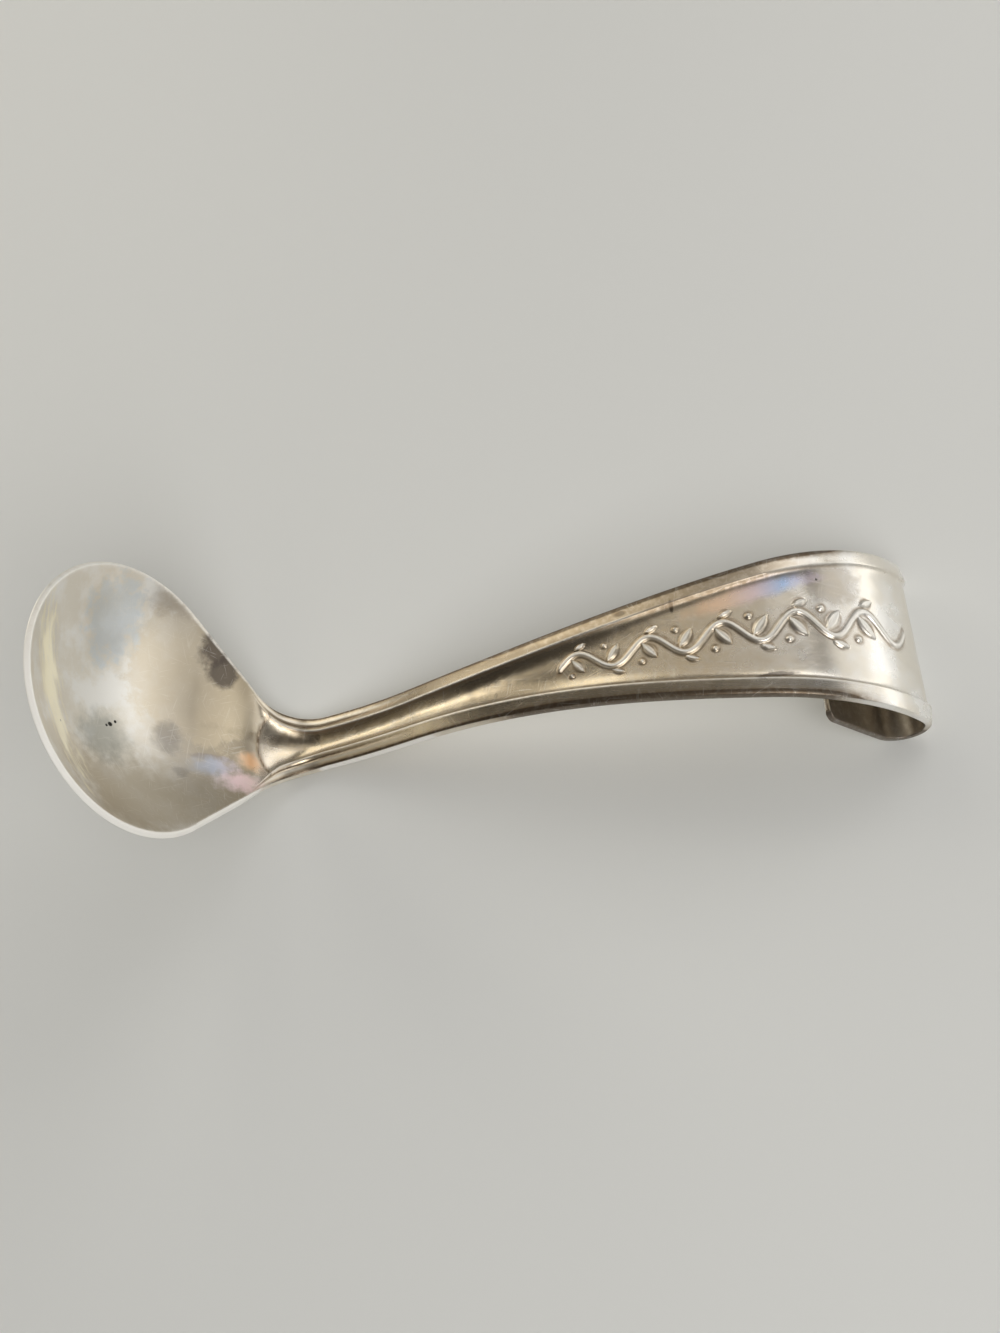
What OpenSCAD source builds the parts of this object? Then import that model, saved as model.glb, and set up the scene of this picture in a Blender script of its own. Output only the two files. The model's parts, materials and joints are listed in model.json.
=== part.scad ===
// Cream spoon: a round bowl on a bordered strip handle that ends in a hook.
// It lies at rest on the heel of its neck and on its hook. Lengths are in millimetres.

/* [Bowl] */
// Inside diameter of the bowl at its rim
bowl_d = 34.6; // [31:0.2:38]
// Depth of the bowl below its rim
bowl_depth = 6.6; // [5:0.1:8]
// Distance from the bowl's centre towards the throat to where the floor leaves the bowl's round
floor_to = 12.14; // [10:0.1:14]

/* [Sheet and border] */
// Thickness of the metal
sheet = 0.85; // [0.6:0.05:1.1]
// Height of the raised border above the panel
border_h = 0.4; // [0.2:0.05:0.6]
// Width of the raised border at the neck
border_neck_w = 1.3; // [0.9:0.1:1.6]
// Width of the raised border at the hook
border_hook_w = 2.1; // [1.4:0.1:3]
// Distance along the spoon from the bowl's centre to the pointed ends of the border
border_from = 19.5; // [16:0.5:24]

/* [Outline] */
// Width of the neck at its narrowest
neck_w = 7.3; // [6:0.1:9]
// Distance along the spoon from the bowl's centre to the narrowest place
neck_at = 33.3; // [30:0.1:38]
// Length of the neck's straight edges before the narrowest place
neck_straight = 2.3; // [0:0.1:3]
// Radius of the fillets between the bowl's shoulders and the neck's straight edges
shoulder_r = 16.4; // [12:0.1:18]
// Depth of the hollow in the neck
neck_hollow = 1.1; // [0.6:0.05:1.5]
// Distance along the spoon from the bowl's centre to the start of the handle's panel
panel_at = 62; // [50:1:80]
// Width of the handle at the hook
handle_w = 22; // [16:0.2:26]
// How late the handle widens, where 1 is evenly
flare_delay = 1.28; // [1:0.02:1.6]

/* [Bends] */
// Distance from the bowl's centre to the start of the throat's bend
throat_at = 20.5; // [18:0.1:23]
// Radius of the throat's bend
throat_r = 6.8; // [5:0.1:10]
// Slope of the front face above the rim at the end of the throat's bend
throat_slope = 78.5; // [70:0.5:84]
// Radius of the neck's bend
neck_r = 70; // [50:1:100]
// Slope at the end of the neck's bend
neck_slope = 90; // [86:0.5:96]
// Radius of the shank's bow
shank_r = 110; // [90:1:140]
// Slope at the end of the shank's bow
shank_slope = 65; // [60:0.5:75]
// Radius of the arch
arch_r = 21.3; // [16:0.1:28]
// Slope at the end of the arch
arch_slope = 4; // [-10:0.5:20]

/* [Hook] */
// Inside radius of the hook
hook_r = 2.6; // [2.2:0.05:4]
// Slope at the end of the hook
hook_slope = -169.5; // [-176:0.5:-150]
// Length of the straight tip behind the hook
tip_len = 11; // [6:0.1:14]
// Radius of the tip's two corners
tip_corner = 2; // [0.5:0.1:4]

/* [Hidden] */
$fn = 96;

// Longest steps between the cross-sections of each bent piece, and the steps across a section
throat_step = 1.2;
neck_step = 2.4;
handle_step = 2.2;
border_steps = 4;
panel_steps = 10;
across_steps = 2 * border_steps + panel_steps;

function mix(a, b, t) = a + (b - a) * t;
function share(s, from, to) = min(1, max(0, (s - from) / (to - from)));
function smooth(t) = t * t * (3 - 2 * t);

// Bowl: a spherical cap, whose rim face stands square to its wall
bowl_r = bowl_d / 2;
cap_r = (bowl_r * bowl_r + bowl_depth * bowl_depth) / (2 * bowl_depth);
cap_z = cap_r - bowl_depth;
rim_slope = asin(bowl_r / cap_r);
rim_out_r = (cap_r + sheet) * sin(rim_slope);

// Shoulders: straight lines that leave the rim's circle at join_at and touch the fillets at fillet_from
shoulder_at = neck_at - neck_straight;
fillet_y = neck_w / 2 + shoulder_r;
join_turn = atan2(fillet_y, shoulder_at) + acos(min(1, (bowl_r + shoulder_r) / norm([shoulder_at, fillet_y])));
join_at = bowl_r * cos(join_turn);
fillet_from = shoulder_at - shoulder_r * cos(join_turn);

// Bends of the front face along the spoon, each a place [station, x, z, slope] and a turn
bends = [[throat_r, throat_slope], [neck_r, neck_slope], [shank_r, shank_slope], [arch_r, arch_slope]];
function bend_point(from, r, slope) =
    let (turn = sign(slope - from[3]))
    [from[0] + r * abs(slope - from[3]) * PI / 180,
     from[1] + turn * r * (sin(slope) - sin(from[3])),
     from[2] + turn * r * (cos(from[3]) - cos(slope)),
     slope];
throat_start = [throat_at, throat_at, 0, 0];
neck_start = bend_point(throat_start, throat_r, throat_slope);
shank_start = bend_point(neck_start, neck_r, neck_slope);
arch_start = bend_point(shank_start, shank_r, shank_slope);
hook_start = bend_point(arch_start, arch_r, arch_slope);
starts = [throat_start, neck_start, shank_start, arch_start];
hook_at = hook_start[0];

// Place on the front face's centre line at station s
function bend_index(s) = max([for (i = [0 : len(bends) - 1]) if (i == 0 || s >= starts[i][0]) i]);
function slope_at(s) =
    let (i = bend_index(s))
    starts[i][3] + sign(bends[i][1] - starts[i][3]) * (s - starts[i][0]) / bends[i][0] * 180 / PI;
function place_at(s) =
    s <= throat_at ? [s, s, 0, 0] : bend_point(starts[bend_index(s)], bends[bend_index(s)][0], slope_at(s));

// Outline, hollow and border at station s
function widening(s) = smooth(pow(share(s, neck_at, hook_at), flare_delay));
function half_w(s) =
    s < fillet_from ? (bowl_r - s * cos(join_turn)) / sin(join_turn)
    : s < shoulder_at ? fillet_y - sqrt(pow(shoulder_r, 2) - pow(shoulder_at - s, 2))
    : mix(neck_w, handle_w, widening(s)) / 2;
function border_w(s) = mix(border_neck_w, border_hook_w, widening(s));
function border_rise(s) = border_h * smooth(share(s, border_from, neck_at));

// Depth of the hollow: the bowl's floor runs out into the neck's trough, which fades towards the hook
floor_at = max(join_at, floor_to);
function cap_depth(s, r) = sqrt(r * r - s * s) - cap_z;
floor_depth = cap_depth(floor_at, cap_r);
floor_fall = -floor_at / (floor_depth + cap_z) * (neck_at - floor_at);
function throat_hollow(t) =
    floor_depth * (1 + 2 * t) * pow(1 - t, 2) + floor_fall * t * pow(1 - t, 2) + neck_hollow * smooth(t);
function hollow(s) =
    s < floor_at ? cap_depth(s, cap_r)
    : s < neck_at ? throat_hollow(share(s, floor_at, neck_at))
    : neck_hollow * (1 - widening(s));

// Depth at y of a round hollow of half-width c and depth h, which is flat below least_hollow
least_hollow = 0.001;
function arc_depth(y, c, h) =
    abs(h) < least_hollow ? 0 : let (r = (c * c + h * h) / (2 * h)) sign(r) * sqrt(r * r - y * y) - (r - h);

// Cross-section at station s, as points [across, above the front face's line]
floor_wall = cap_depth(floor_at, cap_r + sheet) - floor_depth;
join_flange = sqrt(pow(rim_out_r, 2) - pow(join_at, 2)) - half_w(join_at);
function settling(s) = smooth(share(s, floor_at, neck_at));
function front_depth(s, y) =
    let (f = (half_w(s) - abs(y)) / border_w(s))
    arc_depth(y, half_w(s), hollow(s)) + border_rise(s) * (f < 1 ? pow(2 * f - 1, 2) : 1);
function back_half_w(s) = half_w(s) + mix(join_flange, 0, settling(s));
function back_edge(s) = border_rise(s) + mix(sheet * cos(rim_slope), sheet, settling(s));
function back_centre(s) =
    s < floor_at ? cap_depth(s, cap_r + sheet) : hollow(s) + border_rise(s) + mix(floor_wall, sheet, settling(s));
function back_depth(s, y) = back_edge(s) + arc_depth(y, back_half_w(s), back_centre(s) - back_edge(s));
function front_ys(s) =
    let (w = half_w(s), b = border_w(s))
    concat([for (i = [0 : border_steps - 1]) w - b * i / border_steps],
           [for (i = [0 : panel_steps]) (w - b) * (1 - 2 * i / panel_steps)],
           [for (i = [border_steps - 1 : -1 : 0]) b * i / border_steps - w]);
function back_ys(s) = [for (i = [0 : across_steps]) back_half_w(s) * (2 * i / across_steps - 1)];
function section(s) =
    concat([for (y = front_ys(s)) [y, -front_depth(s, y)]], [for (y = back_ys(s)) [y, -back_depth(s, y)]]);
function on_spoon(s, q) =
    let (p = place_at(s))
    [p[1] - sin(p[3]) * q[1], q[0], p[2] + cos(p[3]) * q[1]];

// Hook: the front face turns about hook_c
hook_front_r = hook_r + sheet + border_h;
hook_c = [hook_start[1] + hook_front_r * sin(arch_slope), 0, hook_start[2] - hook_front_r * cos(arch_slope)];
tip_start = [hook_c[0] - hook_front_r * sin(hook_slope), 0, hook_c[2] + hook_front_r * cos(hook_slope)];

// Stations along the spoon
function stations(from, to, step) =
    let (n = ceil((to - from) / step))
    [for (i = [0 : n]) mix(from, to, i / n)];
throat_stations = stations(join_at, neck_at, throat_step);
neck_stations = stations(neck_at, panel_at, neck_step);
handle_stations = stations(panel_at, hook_at, handle_step);

// Rest: the line that touches the heel of the neck and the hook lies level
heel = [for (s = concat(throat_stations, neck_stations)) on_spoon(s, [0, -back_centre(s)])];
function lying_tilt(h) =
    let (d = hook_c - h)
    atan2(d[2], d[0]) - asin(hook_front_r / norm(d));
rest_tilt = max([for (h = heel) lying_tilt(h)]);
rest_level = min([for (h = heel) h[2] * cos(rest_tilt) - h[0] * sin(rest_tilt)]);
bowl_end = cap_z * sin(rest_tilt) - cap_r - sheet;
hook_end = hook_c[0] * cos(rest_tilt) + hook_c[2] * sin(rest_tilt) + hook_front_r;
rest_middle = (bowl_end + hook_end) / 2;
module at_rest() translate([-rest_middle, 0, -rest_level]) rotate([0, rest_tilt, 0]) children();

// Solid that joins the cross-sections at a list of stations
module strip(list) {
    rings = [for (s = list) section(s)];
    n = len(rings[0]);
    last = len(list) - 1;
    points = [for (i = [0 : last]) for (q = rings[i]) on_spoon(list[i], q)];
    sides = [for (i = [0 : last - 1]) for (j = [0 : n - 1])
        let (k = (j + 1) % n)
        each [[i * n + j, (i + 1) * n + j, (i + 1) * n + k], [i * n + j, (i + 1) * n + k, i * n + k]]];
    start_faces = [for (j = [0 : across_steps - 1]) [j, j + 1, n - 2 - j, n - 1 - j]];
    end_faces = [for (f = start_faces) [for (j = [3 : -1 : 0]) last * n + f[j]]];
    polyhedron(points, concat(start_faces, sides, end_faces));
}

module bowl_wall() {
    outer_r = cap_r + sheet;
    reach = 2 * outer_r;
    rotate_extrude() translate([0, cap_z]) intersection() {
        difference() {
            circle(outer_r);
            circle(cap_r);
        }
        polygon([[0, 0], [0, -reach], reach * [sin(rim_slope), -cos(rim_slope)]]);
    }
}

module bowl() {
    cut = 2 * bowl_d;
    color("silver") at_rest() difference() {
        bowl_wall();
        translate([join_at, -cut / 2, -cut / 2]) cube(cut);
    }
}

module throat() {
    color("lightgray") at_rest() strip(throat_stations);
}

module neck() {
    color("silver") at_rest() strip(neck_stations);
}

module handle() {
    color("lightgray") at_rest() strip(handle_stations);
}

module hook() {
    color("silver") at_rest()
        translate(hook_c) rotate([90, 0, 0]) rotate([0, 0, hook_slope + 90])
            rotate_extrude(angle = arch_slope - hook_slope)
                polygon([for (q = section(hook_at)) [hook_front_r + q[1], q[0]]]);
}

module tip_outline() {
    straight_w = handle_w - 2 * tip_corner;
    translate([-handle_w / 2, 0]) square([handle_w, tip_len - tip_corner]);
    translate([-straight_w / 2, 0]) square([straight_w, tip_len]);
    for (side = [-1, 1]) translate([side * straight_w / 2, tip_len - tip_corner]) circle(tip_corner);
}

module hook_tip() {
    through = 4 * (sheet + border_h);
    color("lightgray") at_rest() translate(tip_start) rotate([0, 90 - hook_slope, 0]) intersection() {
        linear_extrude(tip_len) polygon([for (q = section(hook_at)) [-q[1], q[0]]]);
        rotate([90, 0, 90]) linear_extrude(through, center = true) tip_outline();
    }
}

bowl();
throat();
neck();
handle();
hook();
hook_tip();
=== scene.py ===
import json
import math
import bpy
import numpy as np
from mathutils import Matrix, Vector


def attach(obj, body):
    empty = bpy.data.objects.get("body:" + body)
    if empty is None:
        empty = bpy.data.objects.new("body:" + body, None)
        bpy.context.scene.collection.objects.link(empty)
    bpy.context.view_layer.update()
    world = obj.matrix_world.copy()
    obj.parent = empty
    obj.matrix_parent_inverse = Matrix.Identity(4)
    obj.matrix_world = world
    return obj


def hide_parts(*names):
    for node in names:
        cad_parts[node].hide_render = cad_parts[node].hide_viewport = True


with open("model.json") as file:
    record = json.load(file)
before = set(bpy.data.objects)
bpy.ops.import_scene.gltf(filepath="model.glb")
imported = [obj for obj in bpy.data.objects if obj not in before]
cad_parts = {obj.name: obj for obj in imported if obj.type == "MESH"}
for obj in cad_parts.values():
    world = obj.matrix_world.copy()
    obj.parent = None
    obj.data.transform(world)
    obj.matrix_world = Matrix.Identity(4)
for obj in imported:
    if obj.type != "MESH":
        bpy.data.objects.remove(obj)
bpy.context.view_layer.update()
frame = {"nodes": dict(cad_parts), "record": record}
print("frame loaded:", ", ".join(sorted(frame["nodes"])))

mm = 0.001
leastRise = 1e-6  # keeps the radius of an almost flat arc finite

# the stamping in mm: bowl, sheet, outline and bends are the solids' own; ways run along the flat blank
blank = {
    "bowlD": 34.6, "bowlDepth": 6.6, "floorTo": 12.14, "sheet": 0.85,
    "neckW": 7.3, "neckAt": 33.3, "neckStraight": 2.3, "shoulderR": 16.4, "neckHollow": 1.1,
    "panelAt": 62.0, "handleW": 22.0, "flareDelay": 1.28,
    "throatAt": 20.5,
    "bends": ((6.8, 78.5), (70.0, 90.0), (110.0, 65.0), (21.3, 4.0)),  # radius, slope after it
    "hookR": 2.6, "hookSlope": -169.5,
    "tipLen": 11.0,
    "tipCorner": 1.2, "edgeRound": 0.2, "slantEnd": (16.0, 27.0),  # the scene's own
    "brim": (0.3, 0.55), "brimEnd": (20.5, 25.0),  # the rubbed band inside the rim, and where it ends
}
border = {
    "rise": 0.4, "tipW": 0.7, "neckW": 2.05, "hookW": 2.2,
    "start": 19.2, "full": 24.5, "backFrom": 19.5,
    "lean": 0.25, "swell": 0.12,  # fall from the inner ridge to the outer edge, straight and rounded
    "roll": 0.2, "rollReach": 0.24,  # last rounding at the outer edge; reaches are shares of the width
    "groove": 0.72, "grooveHalf": 0.11, "grooveDepth": 0.1, "grooveEnd": (30.0, 48.0),
    "ridge": 0.03, "ridgeUp": 0.2, "ridgeDown": (66.0, 100.0), "flatness": (2.0, 34.0),
}
crease = {
    "at": 21.8, "bow": 0.055, "depth": 0.08, "half": 0.2,
    "kick": 0.6, "lift": 1.0, "settle": (60.0, 108.0),
}


def share(value, low, high):
    return np.clip((value - low) / (high - low), 0.0, 1.0)


def smooth(t):
    return t * t * (3.0 - 2.0 * t)


def mix(a, b, t):
    return a + (b - a) * t


def bell(value, middle, half):
    return np.exp(-((value - middle) / half) ** 2)


def between(way, up, down):
    # rises over the first stretch of the blank and falls over the second
    return smooth(share(way, *up)) * (1 - smooth(share(way, *down)))


# the bowl's cap, and its shoulders, which run straight from the rim's circle to the fillets
bowlR = blank["bowlD"] / 2
capR = (bowlR ** 2 + blank["bowlDepth"] ** 2) / (2 * blank["bowlDepth"])
capZ = capR - blank["bowlDepth"]
rimSlope = math.asin(bowlR / capR)
outR = capR + blank["sheet"]
rimOutR = outR * math.sin(rimSlope)
shoulderAt = blank["neckAt"] - blank["neckStraight"]
shoulderR = blank["shoulderR"]
filletY = blank["neckW"] / 2 + shoulderR
filletFar = math.hypot(shoulderAt, filletY)
joinTurn = math.atan2(filletY, shoulderAt) + math.acos((bowlR + shoulderR) / filletFar)
joinAt = bowlR * math.cos(joinTurn)
joinFlange = math.sqrt(rimOutR ** 2 - joinAt ** 2) - bowlR * math.sin(joinTurn)
filletFrom = shoulderAt - shoulderR * math.cos(joinTurn)
floorAt = max(joinAt, blank["floorTo"])
floorInner = math.sqrt(capR ** 2 - floorAt ** 2)
floorDepth = floorInner - capZ
floorWall = math.sqrt(outR ** 2 - floorAt ** 2) - floorInner
hookFrontR = blank["hookR"] + blank["sheet"] + border["rise"]


def bendStages():
    # way, place and slope where each bend starts, then where the flat tip starts
    stages = [(blank["throatAt"], blank["throatAt"], 0.0, 0.0)]
    for radius, degrees in (*blank["bends"], (hookFrontR, blank["hookSlope"])):
        way, x, z, slope = stages[-1]
        after = math.radians(degrees)
        turn = math.copysign(radius, after - slope)
        stages.append((way + radius * abs(after - slope),
                       x + turn * (math.sin(after) - math.sin(slope)),
                       z + turn * (math.cos(slope) - math.cos(after)), after))
    return stages


stages = bendStages()
hookStage, tipStage = stages[-2:]
hookAt = hookStage[0]
tipAt = tipStage[0]
tipEnd = tipAt + blank["tipLen"]


def placeAt(way):
    # x, z and slope on the bent centre line, in the bowl rim's frame
    x = way.copy()
    z = np.zeros_like(way)
    slope = np.zeros_like(way)
    for low, high in zip(stages, stages[1:]):
        turn = (high[0] - low[0]) / (high[3] - low[3])
        angle = low[3] + (way - low[0]) / turn
        inside = way >= low[0]
        x = np.where(inside, low[1] + turn * (np.sin(angle) - math.sin(low[3])), x)
        z = np.where(inside, low[2] + turn * (math.cos(low[3]) - np.cos(angle)), z)
        slope = np.where(inside, angle, slope)
    past = way - tipAt
    flat = past >= 0
    x = np.where(flat, tipStage[1] + past * math.cos(tipStage[3]), x)
    z = np.where(flat, tipStage[2] + past * math.sin(tipStage[3]), z)
    return x, z, np.where(flat, tipStage[3], slope)


def widening(way):
    return smooth(share(way, blank["neckAt"], hookAt) ** blank["flareDelay"])


def halfWidth(way):
    along = np.clip(shoulderAt - way, 0.0, shoulderAt - filletFrom)
    fillet = filletY - np.sqrt(shoulderR ** 2 - along ** 2)
    straight = (bowlR - way * math.cos(joinTurn)) / math.sin(joinTurn)
    shoulder = np.where(way < filletFrom, straight, fillet)
    strip = mix(blank["neckW"], blank["handleW"], widening(way)) / 2
    corner = np.clip(way - (tipEnd - blank["tipCorner"]), 0.0, blank["tipCorner"])
    cut = blank["tipCorner"] - np.sqrt(blank["tipCorner"] ** 2 - corner ** 2)
    return np.where(way < shoulderAt, shoulder, strip) - cut


def borderWidth(way):
    opening = smooth(share(way, border["start"], border["full"]))
    return mix(mix(border["tipW"], border["neckW"], opening), border["hookW"], widening(way))


def hookFade(way):
    return smooth(share(way, hookAt, tipAt))


def stamping(way):
    # the border comes up out of the bowl's rim in two points and dies away round the hook
    return smooth(share(way, border["start"], border["full"])) * (1 - hookFade(way))


def settling(way):
    return smooth(share(way, floorAt, blank["neckAt"]))


def capDepth(way, radius):
    return np.sqrt(np.maximum(radius ** 2 - way ** 2, 0.0)) - capZ


def hollow(way):
    # depth of the middle line: the bowl's round, a fair curve through the throat, then the channel
    t = share(way, floorAt, blank["neckAt"])
    fall = -floorAt / floorInner * (blank["neckAt"] - floorAt)
    throat = floorDepth * (1 + 2 * t) * (1 - t) ** 2 + fall * t * (1 - t) ** 2
    throat = np.where(way < floorAt, capDepth(way, capR), throat + blank["neckHollow"] * smooth(t))
    return np.where(way < blank["neckAt"], throat, blank["neckHollow"] * (1 - widening(way)))


def arcDepth(y, half, rise):
    rise = np.maximum(rise, leastRise)
    radius = (half ** 2 + rise ** 2) / (2 * rise)
    return np.sqrt(np.maximum(radius ** 2 - y ** 2, 0.0)) - (radius - rise)


def edgeGap(way, y):
    return halfWidth(way) - np.abs(y)


def grooveAt(way, across):
    fine = 1 - smooth(share(way, *border["grooveEnd"]))
    return fine * bell(across, border["groove"], border["grooveHalf"])


def borderDepth(way, across):
    # falls from a ridge on the inside to the outer edge, with a fine groove near the throat
    out = np.clip(1 - across, 0.0, 1.0)
    high = border["ridgeUp"] * (1 - smooth(share(way, *border["ridgeDown"])))
    past = np.clip(1 - across / border["rollReach"], 0.0, 1.0)
    roll = border["roll"] * (1 - np.sqrt(1 - past ** 2))
    fall = border["lean"] * (1 - across) + border["swell"] * out ** 2
    return fall + roll - high + border["grooveDepth"] * grooveAt(way, across)


# the raised sprig on the panel, in mm and degrees; steep, rib and ribHalf are shares
vine = {
    "start": 66.2, "end": 112.0, "wave": 9.2, "swing": (1.25, 1.95), "stemR": 0.5,
    "leafLen": 1.95, "leafW": 0.95, "leafTurn": 52.0, "leafIn": 1.75, "leastReach": 1e-3,
    "budLen": 1.25, "budW": 0.62, "budTurn": 22.0, "budOut": 1.25, "budOn": 0.7,
    "berryR": 0.58, "berryBack": 1.45, "berryOut": 0.2,
    "rise": 0.3, "steep": 1.6, "rib": 0.35, "ribHalf": 0.16,
    "away": 9.0,  # stands for a place off every leaf
}


def almond(way, y, middle, turn, length, width):
    # 0 on a pointed leaf's middle line, 1 on its outline
    cosTurn, sinTurn = math.cos(turn), math.sin(turn)
    along = (way - middle[0]) * cosTurn + (y - middle[1]) * sinTurn
    across = (y - middle[1]) * cosTurn - (way - middle[0]) * sinTurn
    reach = np.maximum(1 - (along / length) ** 2, vine["leastReach"])
    return np.where(np.abs(along) < length, np.abs(across) / (width * reach), vine["away"])


def vineNear(way, y):
    # least share of the way from an ornament's middle to its outline, and the same for the leaves alone
    ends = (vine["start"], vine["end"])
    swingAt = mix(*vine["swing"], share(way, *ends))
    turnRate = 2 * math.pi / vine["wave"]
    phase = (way - vine["start"]) * turnRate
    lean = swingAt * np.cos(phase) * turnRate
    beyond = np.maximum(vine["start"] - way, way - vine["end"])
    stem = np.abs(y - swingAt * np.sin(phase)) / np.hypot(1.0, lean)
    near = np.hypot(stem, np.maximum(beyond, 0.0)) / vine["stemR"]
    leaves = np.full_like(near, vine["away"])
    for count in range(int((vine["end"] - vine["start"]) / (vine["wave"] / 2))):
        middle = vine["start"] + (count + 0.5) * vine["wave"] / 2
        swing = mix(*vine["swing"], share(middle, *ends))
        side = 1 if count % 2 == 0 else -1
        grow = swing / vine["swing"][1]
        leafMiddle = (middle, side * (swing - vine["leafIn"] * grow - vine["stemR"]))
        budMiddle = (middle + vine["budOn"] * grow, side * (swing + vine["budOut"] * grow))
        leaf = almond(way, y, leafMiddle, -side * math.radians(vine["leafTurn"]),
                      vine["leafLen"] * grow, vine["leafW"] * grow)
        bud = almond(way, y, budMiddle, side * math.radians(vine["budTurn"]),
                     vine["budLen"] * grow, vine["budW"] * grow)
        berry = np.hypot(way - middle + vine["berryBack"] * grow, y + side * (swing + vine["berryOut"]))
        leaves = np.minimum(leaves, np.minimum(leaf, bud))
        near = np.minimum(near, np.minimum(leaves, berry / (vine["berryR"] * grow)))
    return near, leaves


def vineHeight(way, y):
    near, leaves = vineNear(way, y)
    rib = vine["rib"] * np.clip(1 - leaves / vine["ribHalf"], 0.0, 1.0)
    return smooth(np.clip((1 - near) * vine["steep"], 0.0, 1.0)) - rib * (leaves <= near)


def creaseMark(way, y):
    # a bowed line across the channel that ends on the border's inner half
    middle = crease["at"] + crease["bow"] * y ** 2
    inside = np.clip(2 * edgeGap(way, y) - borderWidth(way), 0.0, 1.0)
    return bell(way, middle, crease["half"]) * inside


def creaseLift(way, y):
    # past the crease the channel's floor rises, steeply at first, and it settles again along the panel
    past = np.clip(way - crease["at"] - crease["bow"] * y ** 2, 0.0, None)
    lift = crease["lift"] * (1 - np.exp(-past * crease["kick"] / crease["lift"]))
    return lift * (1 - smooth(share(way, *crease["settle"])))


def endRound(way):
    # the cut end of the strip rolls over a little on both faces
    past = np.clip(way - (tipEnd - blank["edgeRound"]), 0.0, blank["edgeRound"])
    return blank["edgeRound"] - np.sqrt(blank["edgeRound"] ** 2 - past ** 2)


def frontDepth(way, y):
    across = edgeGap(way, y) / borderWidth(way)
    inner = halfWidth(way) - borderWidth(way)
    dished = 1 - (np.abs(y) / inner) ** mix(*border["flatness"], widening(way) ** 2)
    lift = creaseLift(way, y) * np.maximum(dished, 0.0)
    ridgeTop = borderDepth(way, 1.0)
    channel = ridgeTop + (hollow(way) + border["rise"] - ridgeTop) * dished - lift
    # the deeper of the two wins, with a soft turn between them
    soft = border["ridge"]
    stamped = soft * np.logaddexp(channel / soft, borderDepth(way, across) / soft)
    plain = arcDepth(y, halfWidth(way), hollow(way)) - lift
    depth = mix(plain, stamped, stamping(way)) + crease["depth"] * creaseMark(way, y)
    return depth - vine["rise"] * vineHeight(way, y) + endRound(way)


# tarnish, painted shade and rubbing on the front: stretches in mm of way, places in shares of the border, and
# strengths
frontTarnishAndShade = {
    "arch": (98.0, 108.0), "archClean": 0.8,
    "footAt": 1.1, "footHalf": 0.1, "foot": 0.78,
    # painted shade: the border's outer flanks are browned, more widely along the panel
    "flank": (0.36, 0.6), "flankGrow": (48.0, 66.0), "flankDeep": 2.2,
    "crestAt": 0.46, "crestHalf": 0.1, "crest": 0.75,
    "lipAt": 0.97, "lipHalf": 0.06,
    # painted shade: the upper side of the border, and the channel's wall inside it, are browned
    "bandUp": (56.0, 70.0), "bandDown": (92.0, 101.0), "bandTo": 0.95, "bandSoft": 0.1, "band": 0.6,
    "wallUp": (73.0, 80.0), "wallDown": (92.0, 99.0), "wallAt": 1.1, "wallHalf": 0.32, "wall": 0.9,
    "haloAt": 1.1, "haloHalf": 0.35, "halo": 0.78,  # round the sprig, in shares of an ornament's half width
    "sprigTop": 1.2, "sprigFall": 1.6,
}


def frontMarks(way, y):
    # where tarnish stays, where shade is painted on the border, and where hands have rubbed the plate bright
    across = edgeGap(way, y) / borderWidth(way)
    stamped = stamping(way)
    arch = smooth(share(way, *frontTarnishAndShade["arch"]))
    groove = grooveAt(way, across) * stamped
    foot = bell(across, frontTarnishAndShade["footAt"], frontTarnishAndShade["footHalf"]) * stamped * (1 - frontTarnishAndShade["archClean"] * arch)
    # painted shade on the outer flanks
    flankReach = mix(*frontTarnishAndShade["flank"], smooth(share(way, *frontTarnishAndShade["flankGrow"])))
    flank = np.clip(1 - across / flankReach, 0.0, 1.0) * stamped * (1 - arch)
    crest = bell(across, frontTarnishAndShade["crestAt"], frontTarnishAndShade["crestHalf"]) * stamped
    crest = crest * (1 - smooth(share(way, *border["grooveEnd"])))
    lip = bell(across, frontTarnishAndShade["lipAt"], frontTarnishAndShade["lipHalf"]) * stamped * (1 - arch)
    # painted shade on the upper side only: the border and the channel's wall inside it
    band = np.clip((frontTarnishAndShade["bandTo"] - across) / frontTarnishAndShade["bandSoft"], 0.0, 1.0) * stamped * (y > 0)
    band = frontTarnishAndShade["band"] * band * between(way, frontTarnishAndShade["bandUp"], frontTarnishAndShade["bandDown"])
    wall = bell(across, frontTarnishAndShade["wallAt"], frontTarnishAndShade["wallHalf"]) * stamped * (y > 0)
    wall = wall * between(way, frontTarnishAndShade["wallUp"], frontTarnishAndShade["wallDown"])
    band = np.maximum(band, frontTarnishAndShade["wall"] * wall)
    near = vineNear(way, y)[0]
    halo = frontTarnishAndShade["halo"] * bell(near, frontTarnishAndShade["haloAt"], frontTarnishAndShade["haloHalf"])
    tarnishAndShade = np.maximum(np.maximum(groove, frontTarnishAndShade["foot"] * foot), np.maximum(halo, creaseMark(way, y)))
    tarnishAndShade = np.maximum(np.maximum(tarnishAndShade, band), np.minimum(frontTarnishAndShade["flankDeep"] * flank, 1.0))
    sprig = np.clip(frontTarnishAndShade["sprigTop"] - frontTarnishAndShade["sprigFall"] * near, 0.0, 1.0)
    wear = np.maximum(np.maximum(frontTarnishAndShade["crest"] * crest, lip * (1 - wall)), sprig)
    return tarnishAndShade, wear


def backRise(way):
    # the back is set lower only slowly, so that the heel stays where the solid has it
    return border["rise"] * smooth(share(way, border["backFrom"], blank["neckAt"])) * (1 - hookFade(way))


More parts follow.
